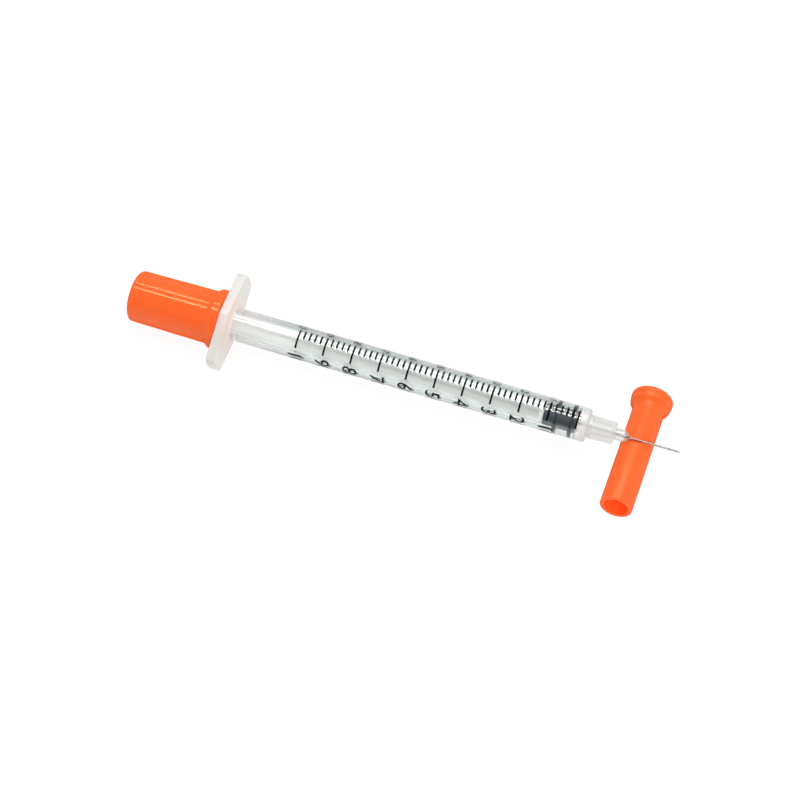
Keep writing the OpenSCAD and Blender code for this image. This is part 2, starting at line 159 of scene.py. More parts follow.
class ShieldSizes(bpy.types.PropertyGroup):
    total: length("Length", "Total length of the shield", 26.5)
    mouth_radius: length("Mouth radius", "Outside radius at the mouth", 3.12)
    tube_end_radius: length("Tube end radius", "Outside radius where the flare starts", 3.10)
    seat_radius: length("Seat radius", "Radius of the seat inside the mouth", 2.32)
    seat_depth: length("Seat depth", "Depth of that seat", 5.2)
    chamber_radius: length("Chamber radius", "Radius of the chamber round the needle", 1.4375)
    chamber_depth: length("Chamber depth", "Depth of that chamber from the mouth", 20.13)
    rim: length("Rim", "Rounding of the mouth's rim", 0.24)
    chamfer: length("Chamfer", "Chamfer inside the mouth", 0.12)
    head_radius: length("Head radius", "Radius of the closed head", 4.1)
    head_length: length("Head length", "Length of the head with its flare", 4.3)
    head_edge: length("Head edge", "Rounding of the head's near edge", 1.05)
    lip_length: length("Lip length", "Length of the lip at the head's far end", 1.30)
    lip_height: length("Lip height", "Height of the lip over the rest of the head", 0.12)
    end_edge: length("End edge", "Rounding of the head's far edge", 0.60)
    flare_radius: length("Flare radius", "Radius of the flare behind the head", 2.58)


class FinishColours(bpy.types.PropertyGroup):
    orange: colour("Orange", "Cap and shield", (1.0, 0.137, 0.025))
    clear: colour("Clear plastic", "Barrel", (0.965, 0.985, 0.975))
    # Partly absorption along the wall and partly painted shade: stands for the darker room seen by
    # reflection inside the wall at its grazing edges.
    clear_edge_tint_and_shade: colour("Clear plastic edge", "Barrel, seen along its wall", (0.57, 0.69, 0.67))
    cloud: colour("Cloud", "Clouded part of the barrel", (0.73, 0.715, 0.695))
    milky: colour("Milky plastic", "Flange and collar", (0.82, 0.795, 0.77))
    # Painted glow: stands for the orange cap's light shining through the milky flange, painted into its
    # colour near the axis.
    painted_cap_glow: colour("Blush", "Flange, where the orange cap shines through", (0.93, 0.81, 0.76))
    resin: colour("Resin", "Adhesive bead", (0.98, 0.98, 0.97))
    ink: colour("Ink", "Graduations and numbers", (0.002, 0.002, 0.003))
    rubber: colour("Rubber", "Stopper", (0.008, 0.015, 0.023))
    rod: colour("Rod plastic", "Plunger rod", (0.94, 0.945, 0.91))
    steel: colour("Steel", "Needle", (0.42, 0.40, 0.37))
    floor: colour("Floor", "Studio floor", (0.9, 0.9, 0.9))


class StageSettings(bpy.types.PropertyGroup):
    azimuth: angle("Azimuth", "Direction that the camera stands in", 17.4033)
    elevation: angle("Elevation", "Height of the camera above the horizon", 53.0)
    roll: angle("Roll", "Roll of the camera", 2.1939)
    distance: length("Distance", "From the camera to its target", 390.0)
    target_x: length("Target X", "Where the camera looks, along the barrel", 55.6096)
    target_z: length("Target Z", "Where the camera looks, from the axis", -9.0641)
    focal_pixels: FloatProperty(name="Focal length", description="In pixels of a picture", default=1980.93)
    picture_width: IntProperty(name="Picture width", description="In pixels", default=800)
    sensor: FloatProperty(name="Sensor", description="Its width in millimetres", default=36.0)
    floor_size: length("Floor", "Width of the floor", 6000.0)


def place(x, radius, turn):
    """A point at a distance from the barrel's axis, turned from the top towards the near side."""
    return Vector((x, -radius * math.sin(turn), radius * math.cos(turn)))


def between(low, high, share):
    """A value part of the way from low to high."""
    return low + (high - low) * share


def arc(x, radius, bend, start, end, steps=8):
    """Points of (x, radius) along an arc about a centre, between two angles in degrees."""
    turns = [math.radians(start + (end - start) * i / steps) for i in range(steps + 1)]
    return [(x + bend * math.cos(t), radius + bend * math.sin(t)) for t in turns]


def circle(x, radius, turns):
    """A ring of points about the barrel's axis at these turns, or its one point on the axis."""
    return [place(x, radius, turn) for turn in turns] if radius else [Vector((x, 0, 0))]


def skin(rings):
    """A mesh over a row of rings, where a ring of one point is a pole."""
    mesh = bmesh.new()
    made = [[mesh.verts.new(point) for point in ring] for ring in rings]
    for one, other in zip(made, made[1:]):
        count = max(len(one), len(other))
        for i in range(count):
            j = (i + 1) % count
            corners = [one[i % len(one)], one[j % len(one)], other[j % len(other)], other[i % len(other)]]
            mesh.faces.new(list(dict.fromkeys(corners)))
    bmesh.ops.recalc_face_normals(mesh, faces=mesh.faces)
    return mesh


def turned(profile, sides=144):
    """A mesh turned about the barrel's axis from points of (x, radius)."""
    turns = [TURN * i / sides for i in range(sides)]
    return skin([circle(x, radius, turns) for x, radius in profile])


def linked(name, data):
    """A new object in the scene."""
    thing = bpy.data.objects.new(name, data)
    bpy.context.scene.collection.objects.link(thing)
    return thing


def keep(mesh, name, finish, smooth_angle=35.0):
    """An object at the origin from a finished mesh, smooth except along its sharp edges."""
    data = bpy.data.meshes.new(name)
    mesh.to_mesh(data)
    mesh.free()
    data.polygons.foreach_set("use_smooth", [True] * len(data.polygons))
    data.set_sharp_from_angle(angle=math.radians(smooth_angle))
    data.materials.append(material_for(finish))
    return linked(name, data)


def smoothed_copy(node, name, finish):
    """A copy of a solid with its loose triangles joined, so that round faces shade smoothly."""
    mesh = bmesh.new()
    mesh.from_mesh(frame["nodes"][node].data)
    bmesh.ops.remove_doubles(mesh, verts=mesh.verts, dist=0.0005 * MM)
    bmesh.ops.dissolve_degenerate(mesh, edges=mesh.edges, dist=0.0002 * MM)
    return keep(mesh, name, finish, 30.0)


def set_inputs(tree, node, inputs):
    """Sets or links a node's inputs, each by its name or its place."""
    for name, value in inputs.items():
        socket = node.inputs[name]
        if isinstance(value, bpy.types.NodeSocket):
            tree.links.new(value, socket)
        elif socket.type == "RGBA":
            socket.default_value = (*value, 1.0)
        else:
            socket.default_value = value


def add_node(tree, kind, inputs=None, **settings):
    """A node with its settings made and its inputs set or linked."""
    node = tree.nodes.new(kind)
    for name, value in settings.items():
        setattr(node, name, value)
    set_inputs(tree, node, inputs or {})
    return node


def maths(tree, operation, *values):
    """A maths node between sockets or numbers."""
    return add_node(tree, "ShaderNodeMath", dict(enumerate(values)), operation=operation).outputs["Value"]


def ramped(tree, value, start, end, low=0.0, high=1.0):
    """A value that runs smoothly from low to high between two places."""
    inputs = {"Value": value, "From Min": start, "From Max": end, "To Min": low, "To Max": high}
    return add_node(tree, "ShaderNodeMapRange", inputs, interpolation_type="SMOOTHSTEP").outputs["Result"]


def mixed_colour(tree, factor, first, second):
    """One colour run into another by a mask."""
    inputs = {"Factor": factor, "A": first, "B": second}
    return add_node(tree, "ShaderNodeMix", inputs, data_type="RGBA").outputs["Result"]


def mixed_shader(tree, factor, first, second):
    """One shader run into another by a mask."""
    return add_node(tree, "ShaderNodeMixShader", {"Fac": factor, 1: first, 2: second}).outputs["Shader"]


def place_parts(tree, coordinates="Object"):
    """The X, Y and Z of a place, as sockets."""
    spot = add_node(tree, "ShaderNodeTexCoord").outputs[coordinates]
    return add_node(tree, "ShaderNodeSeparateXYZ", {"Vector": spot}).outputs


def put_on_surface(tree, finish):
    """Makes a shader the one that the surface shows."""
    set_inputs(tree, tree.get_output_node("ALL"), {"Surface": finish})


def moulded_surface():
    """A shader group for the fine grain and faint flow marks of a moulded surface."""
    if "Moulded surface" in bpy.data.node_groups:
        return bpy.data.node_groups["Moulded surface"]
    group = bpy.data.node_groups.new("Moulded surface", "ShaderNodeTree")
    for name, kind, default in (
        ("Grain scale", "NodeSocketFloat", 4000.0),
        ("Flow scale", "NodeSocketFloat", 250.0),
        ("Flow stretch", "NodeSocketVector", (0.2, 1.0, 1.0)),
    ):
        group.interface.new_socket(name, in_out="INPUT", socket_type=kind).default_value = default
    for name in ("Height", "Flow"):
        group.interface.new_socket(name, in_out="OUTPUT", socket_type="NodeSocketFloat")
    given = add_node(group, "NodeGroupInput").outputs
    spot = add_node(group, "ShaderNodeTexCoord").outputs["Object"]
    inputs = {0: spot, 1: given["Flow stretch"]}
    pulled = add_node(group, "ShaderNodeVectorMath", inputs, operation="MULTIPLY").outputs["Vector"]
    marks = {}
    for name, vector, scale, detail in (
        ("Height", spot, "Grain scale", 3.0),
        ("Flow", pulled, "Flow scale", 2.0),
    ):
        inputs = {"Vector": vector, "Scale": given[scale], "Detail": detail}
        marks[name] = add_node(group, "ShaderNodeTexNoise", inputs).outputs["Fac"]
    add_node(group, "NodeGroupOutput", marks)
    return group


def new_shader(tree, inputs):
    """A shader with these inputs, which the surface shows until another is put there."""
    shader = add_node(tree, "ShaderNodeBsdfPrincipled", inputs)
    add_node(tree, "ShaderNodeOutputMaterial", {"Surface": shader.outputs["BSDF"]})
    return shader


def scaled(base, share):
    """A colour made lighter or darker."""
    return tuple(min(1.0, part * share) for part in base)


def add_grain(tree, shader, base, shades, stretch, *, grain, flow, bump, roughness):
    """Grain as bump, and flow marks as a slight change of shade and roughness. Gives back the colour."""
    inputs = {"Grain scale": grain, "Flow scale": flow, "Flow stretch": stretch}
    marks = add_node(tree, "ShaderNodeGroup", inputs, node_tree=moulded_surface()).outputs
    tint = mixed_colour(tree, marks["Flow"], scaled(base, shades[0]), scaled(base, shades[1]))
    inputs = {"Strength": bump, "Distance": 0.01 * MM, "Height": marks["Height"]}
    relief = add_node(tree, "ShaderNodeBump", inputs)
    inputs = {"Value": marks["Flow"], "To Min": roughness[0], "To Max": roughness[1]}
    gloss = add_node(tree, "ShaderNodeMapRange", inputs)
    inputs = {"Base Color": tint, "Roughness": gloss.outputs["Result"], "Normal": relief.outputs["Normal"]}
    set_inputs(tree, shader, inputs)
    return tint


def let_light_in(tree, finish, tint, share=1.0):
    """Lets a share of the light straight through to what lies behind, as a thin clear wall does."""
    path = add_node(tree, "ShaderNodeLightPath").outputs
    soft = maths(tree, "MAXIMUM", path["Is Shadow Ray"], path["Is Diffuse Ray"])
    through = add_node(tree, "ShaderNodeBsdfTransparent", {"Color": tint}).outputs["BSDF"]
    put_on_surface(tree, mixed_shader(tree, maths(tree, "MULTIPLY", soft, share), finish, through))


def clear_plastic(tree, c):
    """Clear moulded polypropylene, clouded towards the flange and in the thick front wall and hub, with
    painted shade along its grazing edges.
    """
    s = bpy.context.scene.syringe_barrel
    inputs = {"Transmission Weight": 1.0, "IOR": PLASTIC_IOR}
    inputs |= {"Coat Weight": 1.0, "Coat IOR": 1.6, "Coat Roughness": 0.01}
    shader = new_shader(tree, inputs)
    grain = {"grain": 1500.0, "flow": 120.0, "bump": 0.003, "roughness": (0.01, 0.04)}
    tint = add_grain(tree, shader, c.clear, (0.985, 1.0), ALONG_BARREL, **grain)
    x = place_parts(tree)["X"]
    flange = BARREL_LOW.x + s.collar_length + s.flange_thickness
    front = BARREL_HIGH.x - s.bore_front
    nose = BARREL_HIGH.x - s.nose_length

    # Painted shade: the base colour darkens where the wall is seen at a grazing angle, partly for absorption
    # along the wall and partly for the darker room reflected inside it; less so near the flange.
    facing = add_node(tree, "ShaderNodeLayerWeight").outputs["Facing"]
    away = ramped(tree, x, flange, flange + 16 * MM, low=0.15)
    edge = maths(tree, "MULTIPLY", ramped(tree, facing, 0.24, 0.36), away)
    set_inputs(tree, shader, {"Base Color": mixed_colour(tree, edge, tint, c.clear_edge_tint_and_shade)})

    clearest, root_cloud, cloudiest, nose_cloud = 0.004, 0.30, 0.66, 0.30
    behind = ramped(tree, x, flange + 15 * MM, flange + 2 * MM, clearest, root_cloud)
    ahead = ramped(tree, x, front - 0.7 * MM, front + 0.9 * MM, clearest, cloudiest)
    thin = ramped(tree, x, nose - 0.4 * MM, nose + 0.3 * MM, cloudiest, nose_cloud)
    share = maths(tree, "MINIMUM", maths(tree, "MAXIMUM", behind, ahead), thin)
    inputs = {"Base Color": c.cloud, "Roughness": 0.08, "IOR": PLASTIC_IOR}
    cloud = add_node(tree, "ShaderNodeBsdfPrincipled", inputs)
    clouded = mixed_shader(tree, share, shader.outputs["BSDF"], cloud.outputs["BSDF"])
    let_light_in(tree, clouded, (0.98, 0.985, 0.98))


def milky_plastic(tree, c):
    """The same plastic in the flange and its collar, with a painted orange glow near the axis for the cap's
    light shining through.
    """
    collar = bpy.context.scene.syringe_barrel.collar_radius
    shader = new_shader(tree, {"Transmission Weight": 0.35, "IOR": PLASTIC_IOR})
    grain = {"grain": 1800.0, "flow": 160.0, "bump": 0.10, "roughness": (0.16, 0.30)}
    tint = add_grain(tree, shader, c.milky, (0.98, 1.01), ALL_ROUND, **grain)
    parts = place_parts(tree)
    square = maths(
        tree,
        "ADD",
        maths(tree, "MULTIPLY", parts["Y"], parts["Y"]),
        maths(tree, "MULTIPLY", parts["Z"], parts["Z"]),
    )
    # Mask of the painted glow: strongest near the axis, where the cap's orange light would shine through.
    inner = ramped(tree, maths(tree, "SQRT", square), collar * 1.6, collar)
    set_inputs(tree, shader, {"Base Color": mixed_colour(tree, inner, tint, c.painted_cap_glow)})
    let_light_in(tree, shader.outputs["BSDF"], (0.88, 0.86, 0.84), 0.8)


def clear_resin(tree, c):
    """Cured clear adhesive."""
    shader = new_shader(tree, {"Transmission Weight": 1.0, "IOR": 1.52, "Coat Weight": 1.0})
    grain = {"grain": 900.0, "flow": 600.0, "bump": 0.05, "roughness": (0.0, 0.03)}
    add_grain(tree, shader, c.resin, (0.97, 1.0), ALL_ROUND, **grain)
    let_light_in(tree, shader.outputs["BSDF"], (0.97, 0.97, 0.96))


def orange_finish(tree, base, stretch, roughness):
    """Glossy polyethylene that lets a little light through, with flow marks along the piece."""
    inputs = {"IOR": 1.51, "Specular IOR Level": 0.40, "Specular Tint": (1.0, 0.80, 0.45)}
    inputs |= {"Subsurface Weight": 0.4, "Subsurface Radius": (1.0, 0.2, 0.08), "Subsurface Scale": 1.0 * MM}
    shader = new_shader(tree, inputs)
    grain = {"grain": 2500.0, "flow": 1100.0, "bump": 0.02, "roughness": roughness}
    tint = add_grain(tree, shader, base, (0.98, 1.02), stretch, **grain)
    facing = add_node(tree, "ShaderNodeLayerWeight").outputs["Facing"]
    matt = add_node(tree, "ShaderNodeBsdfDiffuse", {"Color": tint}).outputs["BSDF"]
    mixed = mixed_shader(tree, ramped(tree, facing, 0.35, 0.75), shader.outputs["BSDF"], matt)
    let_light_in(tree, mixed, (1.0, 0.60, 0.45), 0.95)


def cap_plastic(tree, c):
    """Orange plastic with its flow marks along the barrel."""
    orange_finish(tree, c.orange, DRAWN_ALONG, (0.07, 0.15))


def shield_plastic(tree, c):
    """Orange plastic with its flow marks along the shield, which lies across the barrel."""
    orange_finish(tree, c.orange, DRAWN_ACROSS, (0.24, 0.28))


def white_plastic(tree, c):
    """Natural moulded plastic of the plunger rod."""
    inputs = {"Subsurface Weight": 0.2, "Subsurface Radius": (1.0, 0.95, 0.8), "Subsurface Scale": 0.5 * MM}
    shader = new_shader(tree, inputs)
    grain = {"grain": 2500.0, "flow": 200.0, "bump": 0.08, "roughness": (0.28, 0.42)}
    add_grain(tree, shader, c.rod, (0.95, 1.03), ALONG_BARREL, **grain)


def dark_rubber(tree, c):
    """Lightly oiled moulded rubber."""
    shader = new_shader(tree, {"Specular IOR Level": 0.3})
    grain = {"grain": 5000.0, "flow": 900.0, "bump": 0.25, "roughness": (0.25, 0.4)}
    add_grain(tree, shader, c.rubber, (0.8, 1.25), ALL_ROUND, **grain)


def black_ink(tree, c):
    """Opaque printed ink with slightly uneven cover."""
    shader = new_shader(tree, {"Specular IOR Level": 0.04})
    grain = {"grain": 9000.0, "flow": 2500.0, "bump": 0.05, "roughness": (0.5, 0.7)}
    add_grain(tree, shader, c.ink, (0.6, 1.6), ALL_ROUND, **grain)


def needle_steel(tree, c):
    """Drawn steel, with fine marks along the tube."""
    shader = new_shader(tree, {"Metallic": 1.0})
    grain = {"grain": 9000.0, "flow": 6000.0, "bump": 0.05, "roughness": (0.18, 0.34)}
    add_grain(tree, shader, c.steel, (0.88, 1.08), DRAWN_ALONG, **grain)


def white_floor(tree, c):
    """A white floor that keeps the object's shadow."""
    shader = new_shader(tree, {"Base Color": c.floor, "Roughness": 0.9, "Specular IOR Level": 0.1})
    glow = add_node(tree, "ShaderNodeEmission", {"Strength": 1.03}).outputs["Emission"]
    path = add_node(tree, "ShaderNodeLightPath").outputs
    seen = path["Is Camera Ray"]
    for ray in ("Is Transmission Ray", "Is Glossy Ray"):
        seen = maths(tree, "MAXIMUM", seen, path[ray])
    share = maths(tree, "MULTIPLY", seen, 0.9)
    put_on_surface(tree, mixed_shader(tree, share, shader.outputs["BSDF"], glow))


def material_for(finish):
    """Each finish is made once, under its own name, and shared."""
    name = FINISH + finish.__name__
    if name not in bpy.data.materials:
        material = bpy.data.materials.new(name)
        material.use_nodes = True
        material.node_tree.nodes.clear()
        finish(material.node_tree, bpy.context.scene.syringe_colours)
    return bpy.data.materials[name]


def stand_for(piece, body, slot, *nodes):
    """The piece rides on its body and stands for the nodes."""
    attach(piece, body)
    if nodes:
        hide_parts(*nodes)


HUB_RIBS = 4
HUB_STEPS = 6
RIB_WALL_STEPS = 4
RIB_TOP_STEPS = 20
RIB_GAP_STEPS = 30
BEAD_STEPS = 8
CORE_SHARE = 0.3                # where the hub's core is, from the nose's radius to the ribs'
PLATE_SHARES = (0.33, 0.66)     # where rings lie on the flange's flat faces, from its root to its rim


def section_turns(core_radius, rib_radius, s):
    """Angles and radii round the hub: each rib's wall, top and wall, then the core up to the next rib."""
    half = s.hub_rib_width / 2
    foot = math.asin(half / core_radius)
    crown = math.asin(half / rib_radius)
    gap = TURN / HUB_RIBS - 2 * foot
    points = []
    for rib in range(HUB_RIBS):
        middle = s.hub_turn + rib * TURN / HUB_RIBS
        for i in range(RIB_WALL_STEPS):
            off = between(foot, crown, i / RIB_WALL_STEPS)
            points.append((middle - off, half / math.sin(off)))
        for i in range(RIB_TOP_STEPS + 1):
            points.append((middle - crown + 2 * crown * i / RIB_TOP_STEPS, rib_radius))
        for i in range(1, RIB_WALL_STEPS + 1):
            off = between(crown, foot, i / RIB_WALL_STEPS)
            points.append((middle + off, half / math.sin(off)))
        for i in range(1, RIB_GAP_STEPS):
            points.append((middle + foot + gap * i / RIB_GAP_STEPS, core_radius))
    return points


def outline_radius(turn, s):
    """How far the flange's outline lies from the axis in one direction."""
    sharpness = 40.0
    long_axis = TURN / 4 + s.flange_turn
    total = (1 / s.flange_end_radius) ** sharpness
    for flat in (TURN / 4 - s.flange_taper, TURN / 4 + s.flange_taper):
        for side in (flat, flat + TURN / 2):
            facing = math.cos(turn - long_axis - side)
            total += (max(0.0, facing) / s.flange_flat) ** sharpness
    return total ** (-1 / sharpness)


class SYRINGE_OT_barrel(bpy.types.Operator):
    """Make the clear barrel with its flange, collar, ribbed hub and nose"""

    bl_idname = "syringe.barrel"
    bl_label = "Barrel"

    def execute(self, context):
        s = context.scene.syringe_barrel
        tube = s.bore_radius + s.wall
        nose_x = BARREL_HIGH.x
        hub_front = nose_x - s.nose_length
        shoulder = hub_front - s.hub_length
        collar_front = shoulder + s.hub_collar
        flange_back = BARREL_LOW.x + s.collar_length
        flange_front = flange_back + s.flange_thickness
        core = between(s.nose_radius, s.hub_radius, CORE_SHARE)
        spread = core * 1.15
        turns = [turn for turn, radius in section_turns(spread, s.hub_radius, s)]

        def rings_at(points):
            return [circle(x, radius, turns) for x, radius in points]

        def rib_ring(x, core_share, rib_radius):
            section = section_turns(between(s.nose_radius, core, core_share), rib_radius, s)
            return [place(x, radius, turn) for turn, radius in section]

        def plate_ring(x, inset, share=1.0, root=0.0):
            return [place(x, between(root, outline_radius(turn, s) - inset, share), turn) for turn in turns]

        step, nose_edge, hub_edge, hub_foot = 0.004 * MM, 0.16 * MM, 0.10 * MM, 0.22 * MM
        nose = [(nose_x, 0.0), (nose_x, s.nose_radius * 0.5)]
        nose += arc(nose_x - nose_edge, s.nose_radius - nose_edge, nose_edge, 0, 90, 5)
        rings = rings_at(nose + [(hub_front + step, s.nose_radius)])

        chamfer = s.hub_draft * 2
        rib_front = s.hub_radius - s.hub_draft
        rings.append(rib_ring(hub_front, 0.02, rib_front - chamfer))
        for i in range(HUB_STEPS + 1):
            share = i / HUB_STEPS
            x = between(hub_front - chamfer, collar_front + step, share)
            core_share = (hub_front - x) / (hub_front - collar_front)
            rings.append(rib_ring(x, core_share, rib_front + s.hub_draft * share))

        corner, fillet, edge = s.shoulder_round, s.root_fillet, s.flange_edge
        body = arc(collar_front - hub_edge, s.hub_radius - hub_edge, hub_edge, 0, 90, 3)
        body += arc(shoulder + hub_foot, s.hub_radius + hub_foot, hub_foot, 270, 180, 4)
        body += arc(shoulder - corner, tube - corner, corner, 0, 90)
        body += arc(flange_front + fillet, tube + fillet, fillet, 270, 180)
        rings += rings_at(body)
        rings += [plate_ring(flange_front, edge, share, tube + fillet) for share in PLATE_SHARES]
        rim = arc(flange_front - edge, -edge, edge, 0, 90, 5)
        rim += arc(flange_back + edge, -edge, edge, 90, 180, 5)
        rings += [plate_ring(x, -rise) for x, rise in rim]
        rings += [plate_ring(flange_back, edge, share, s.collar_radius) for share in PLATE_SHARES[::-1]]

        end, lead, entry = BARREL_LOW.x, 0.2 * MM, s.wall * 0.3
        inside = s.collar_radius - s.collar_wall
        back = [(flange_back, s.collar_radius), (end + lead, s.collar_radius)]
        back += [(end, s.collar_radius - lead), (end, inside), (flange_back, inside)]
        back += [(flange_back, s.bore_radius + entry), (flange_back + entry, s.bore_radius)]
        bead_x = flange_back + s.flange_thickness * 1.5
        bead_run = s.flange_thickness * 0.6
        bead_height = 0.12 * MM
        for i in range(BEAD_STEPS + 1):
            rise = (1 - math.cos(TURN * i / BEAD_STEPS)) / 2
            back.append((bead_x + bead_run * i / BEAD_STEPS, s.bore_radius - bead_height * rise))
        bore_tip, tip_radius = nose_x - s.bore_front, 0.34 * MM
        back += [(bore_tip - s.bore_cone, s.bore_radius), (bore_tip, tip_radius), (bore_tip, 0.0)]
        piece = keep(skin(rings + rings_at(back)), "barrel_shell", clear_plastic)

        piece.data.materials.append(material_for(milky_plastic))
        milky_end = flange_front + fillet * 0.9
        for face in piece.data.polygons:
            if face.center.x < milky_end and face.center.yz.length > s.bore_radius + entry:
                face.material_index = 1
        stand_for(piece, "barrel", "clear_plastic", "barrel")
        return {"FINISHED"}


GRADUATION_INPUTS = {
    "NodeSocketInt": ("Lines", "Per Number"),
    "NodeSocketFloat": (
        "Pitch", "Zero X", "Line Width", "Short Turn", "Long Turn", "Start Turn", "Radius", "Ink"
    ),
    "NodeSocketMaterial": ("Material",),
}
BAR_POINTS = 24


def graduation_tree():
    """Lines round the barrel: flat bars set along the scale, then wrapped round the tube."""
    group = bpy.data.node_groups.new("Graduations", "GeometryNodeTree")
    for kind, names in GRADUATION_INPUTS.items():
        for name in names:
            group.interface.new_socket(name, in_out="INPUT", socket_type=kind)
    group.interface.new_socket("Geometry", in_out="OUTPUT", socket_type="NodeSocketGeometry")
    given = add_node(group, "NodeGroupInput").outputs

    def vector(x, y=0.0, z=0.0):
        return add_node(group, "ShaderNodeCombineXYZ", {"X": x, "Y": y, "Z": z}).outputs["Vector"]

    back = maths(group, "MULTIPLY", given["Pitch"], -1.0)
    inputs = {"Count": given["Lines"], "Start Location": vector(given["Zero X"]), "Offset": vector(back)}
    places = add_node(group, "GeometryNodeMeshLine", inputs, mode="OFFSET")

    inputs = {"Size": vector(given["Line Width"], 1.0, given["Ink"])}
    inputs |= {"Vertices X": 2, "Vertices Y": BAR_POINTS, "Vertices Z": 2}
    bar = add_node(group, "GeometryNodeMeshCube", inputs)
    inputs = {"Geometry": bar.outputs["Mesh"], "Translation": (0.0, 0.5, 0.0)}
    lifted = add_node(group, "GeometryNodeTransform", inputs)

    number = add_node(group, "GeometryNodeInputIndex").outputs["Index"]
    is_long = maths(group, "LESS_THAN", maths(group, "MODULO", number, given["Per Number"]), 0.5)
    extra = maths(group, "SUBTRACT", given["Long Turn"], given["Short Turn"])
    turn = maths(group, "ADD", maths(group, "MULTIPLY", is_long, extra), given["Short Turn"])
    inputs = {"Points": places.outputs["Mesh"], "Instance": lifted.outputs["Geometry"]}
    inputs["Scale"] = vector(1.0, turn, 1.0)
    copies = add_node(group, "GeometryNodeInstanceOnPoints", inputs)
    real = add_node(group, "GeometryNodeRealizeInstances", {"Geometry": copies.outputs["Instances"]})

    spot = add_node(group, "GeometryNodeInputPosition").outputs["Position"]
    flat = add_node(group, "ShaderNodeSeparateXYZ", {"Vector": spot}).outputs
    around = maths(group, "ADD", flat["Y"], given["Start Turn"])
    away = maths(group, "ADD", flat["Z"], given["Radius"])
    near = maths(group, "MULTIPLY", maths(group, "SINE", around), away)
    up = maths(group, "MULTIPLY", maths(group, "COSINE", around), away)
    wrapped = vector(flat["X"], maths(group, "MULTIPLY", near, -1.0), up)
    inputs = {"Geometry": real.outputs["Geometry"], "Position": wrapped}
    bent = add_node(group, "GeometryNodeSetPosition", inputs)
    inputs = {"Geometry": bent.outputs["Geometry"], "Material": given["Material"]}
    inked = add_node(group, "GeometryNodeSetMaterial", inputs)
    add_node(group, "NodeGroupOutput", {"Geometry": inked.outputs["Geometry"]})
    return group


def evaluated_mesh(piece):
    """The mesh that a piece's modifiers or glyphs give. The piece itself is removed."""
    data = bpy.data.meshes.new_from_object(piece.evaluated_get(bpy.context.evaluated_depsgraph_get()))
    bpy.data.objects.remove(piece)
    mesh = bmesh.new()
    mesh.from_mesh(data)
    bpy.data.meshes.remove(data)
    return mesh


def print_radius(scene, share):
    """The tube's radius, with a share of the ink's thickness."""
    barrel = scene.syringe_barrel
    return barrel.bore_radius + barrel.wall + scene.syringe_print.ink * share


def zero_line(scene):
    """Where the scale's zero line is along the barrel."""
    barrel, s = scene.syringe_barrel, scene.syringe_print
    return BARREL_LOW.x + barrel.collar_length + barrel.flange_thickness + s.scale_lead + s.scale_length


class SYRINGE_OT_graduations(bpy.types.Operator):
    """Print the graduation lines with a geometry node tree"""

    bl_idname = "syringe.graduations"
    bl_label = "Graduations"

    def execute(self, context):
        s = context.scene.syringe_print
        values = {
            "Lines": s.divisions + 1,
            "Pitch": s.scale_length / s.divisions,
            "Zero X": zero_line(context.scene),
            "Per Number": s.per_number,
            "Line Width": s.line_width,
            "Short Turn": s.short_line,
            "Long Turn": s.long_line,
            "Start Turn": s.start,
            "Radius": print_radius(context.scene, 0.4),
            "Ink": s.ink,
            "Material": material_for(black_ink),
        }
        carrier = linked("graduation_maker", bpy.data.meshes.new("graduation_maker"))
        modifier = carrier.modifiers.new("Graduations", "NODES")
        modifier.node_group = graduation_tree()
        for item in modifier.node_group.interface.items_tree:
            if item.in_out == "INPUT":
                modifier[item.identifier] = values[item.name]
        mesh = evaluated_mesh(carrier)
        bmesh.ops.recalc_face_normals(mesh, faces=mesh.faces)
        piece = keep(mesh, "graduation_lines", black_ink)
        stand_for(piece, "barrel", "black_ink", "scale_print")
        return {"FINISHED"}


def flat_number(words, height, ink, stretch=1.0):
    """A number's solid glyphs, centred on its height, with its baseline along X."""
    curve = bpy.data.curves.new("number", "FONT")
    curve.body = words
    curve.resolution_u = 6
    curve.extrude = 0.5
    writer = linked("number", curve)
    bpy.context.view_layer.update()
    mesh = evaluated_mesh(writer)
    bmesh.ops.remove_doubles(mesh, verts=mesh.verts, dist=0.0001)
    low = min(vertex.co.y for vertex in mesh.verts)
    high = max(vertex.co.y for vertex in mesh.verts)
    share = height / (high - low)
    for vertex in mesh.verts:
        vertex.co.x *= share * stretch
        vertex.co.y = (vertex.co.y - (low + high) / 2) * share
        vertex.co.z *= ink
    return mesh


def wrap_number(mesh, centre_x, start, radius, print_mesh):
    """Bends flat glyphs round the barrel: their right runs round it and their top points to the needle."""
    slices = 0.18 * MM
    left = min(vertex.co.x for vertex in mesh.verts)
    right = max(vertex.co.x for vertex in mesh.verts)
    for i in range(1, int((right - left) / slices) + 1):
        parts = mesh.verts[:] + mesh.edges[:] + mesh.faces[:]
        bmesh.ops.bisect_plane(mesh, geom=parts, plane_co=(left + i * slices, 0, 0), plane_no=(1, 0, 0))
    for vertex in mesh.verts:
        flat = vertex.co.copy()
        vertex.co = place(centre_x + flat.y, radius + flat.z, start + flat.x / radius)
    part = bpy.data.meshes.new("part")
    mesh.to_mesh(part)
    mesh.free()
    print_mesh.from_mesh(part)
    bpy.data.meshes.remove(part)


